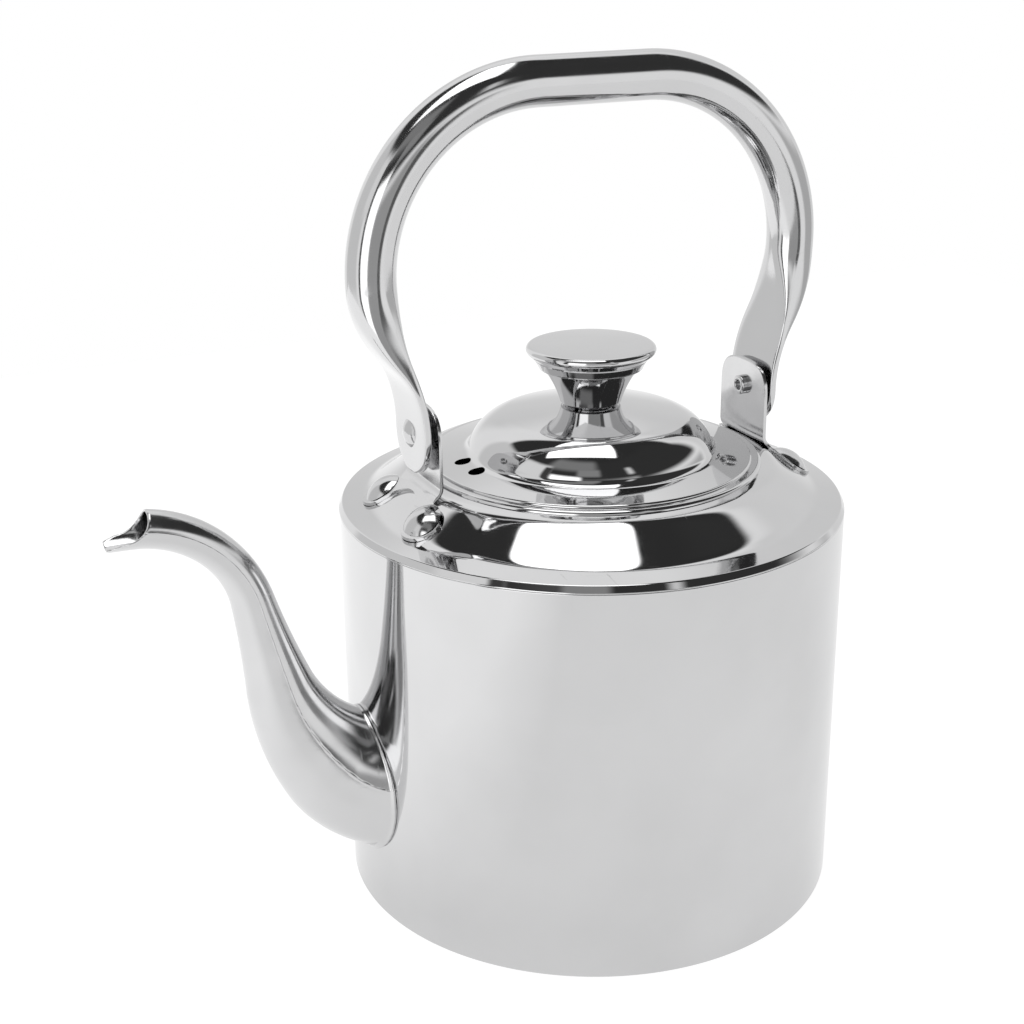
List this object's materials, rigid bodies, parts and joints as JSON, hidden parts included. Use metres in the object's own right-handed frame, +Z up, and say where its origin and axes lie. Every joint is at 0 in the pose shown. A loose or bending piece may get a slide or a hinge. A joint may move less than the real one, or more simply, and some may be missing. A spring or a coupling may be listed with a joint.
{
  "type": "gooseneck kettle",
  "caption": "Polished steel stovetop kettle with a straight round body, tapered gooseneck spout, lift-off domed lid with a flared knob, and a swinging tube bail handle.",
  "frame": {"origin": "centre of the base ring, on the surface the kettle stands on", "axes": "+Z up along the body's axis, the spout along -X, the handle's pivot axis parallel to X"},
  "size_m": [0.2196, 0.15, 0.247],
  "materials": {
    "polished_steel": "mirror-polished stainless sheet with faint polishing lines",
    "rivet_steel": "bright headed rivets with small dents from setting",
    "plain_steel": "satin stainless, as pressed"
  },
  "bodies": {
    "vessel": {"body_wall": "polished_steel", "base_pan": "plain_steel", "shoulder": "polished_steel", "spout_near_half": "polished_steel", "spout_far_half": "polished_steel", "rear_bracket": "polished_steel", "front_bracket": "polished_steel", "rear_rivet_near": "rivet_steel", "rear_rivet_far": "rivet_steel", "front_rivet_near": "rivet_steel", "front_rivet_far": "rivet_steel", "rear_pivot_rivet": "rivet_steel", "rear_pivot_washer": "plain_steel", "front_pivot_rivet": "rivet_steel", "front_pivot_washer": "plain_steel"},
    "handle": {"handle_tube": "polished_steel"},
    "lid": {"lid_shell": "polished_steel", "lid_skirt": "polished_steel", "knob_cone": "polished_steel", "knob_cap": "polished_steel", "knob_nut": "plain_steel", "knob_washer": "plain_steel", "knob_screw": "plain_steel"}
  },
  "joints": [
    {"name": "handle_swing", "type": "hinge", "parent": "vessel", "child": "handle", "pos_m": [0, 0, 0.14578], "axis": [1, 0, 0], "range_deg": [-105, 105]},
    {"name": "lid_lift", "type": "slide", "parent": "vessel", "child": "lid", "axis": [0, 0, 1], "range_m": [0, 0.06]}
  ]
}
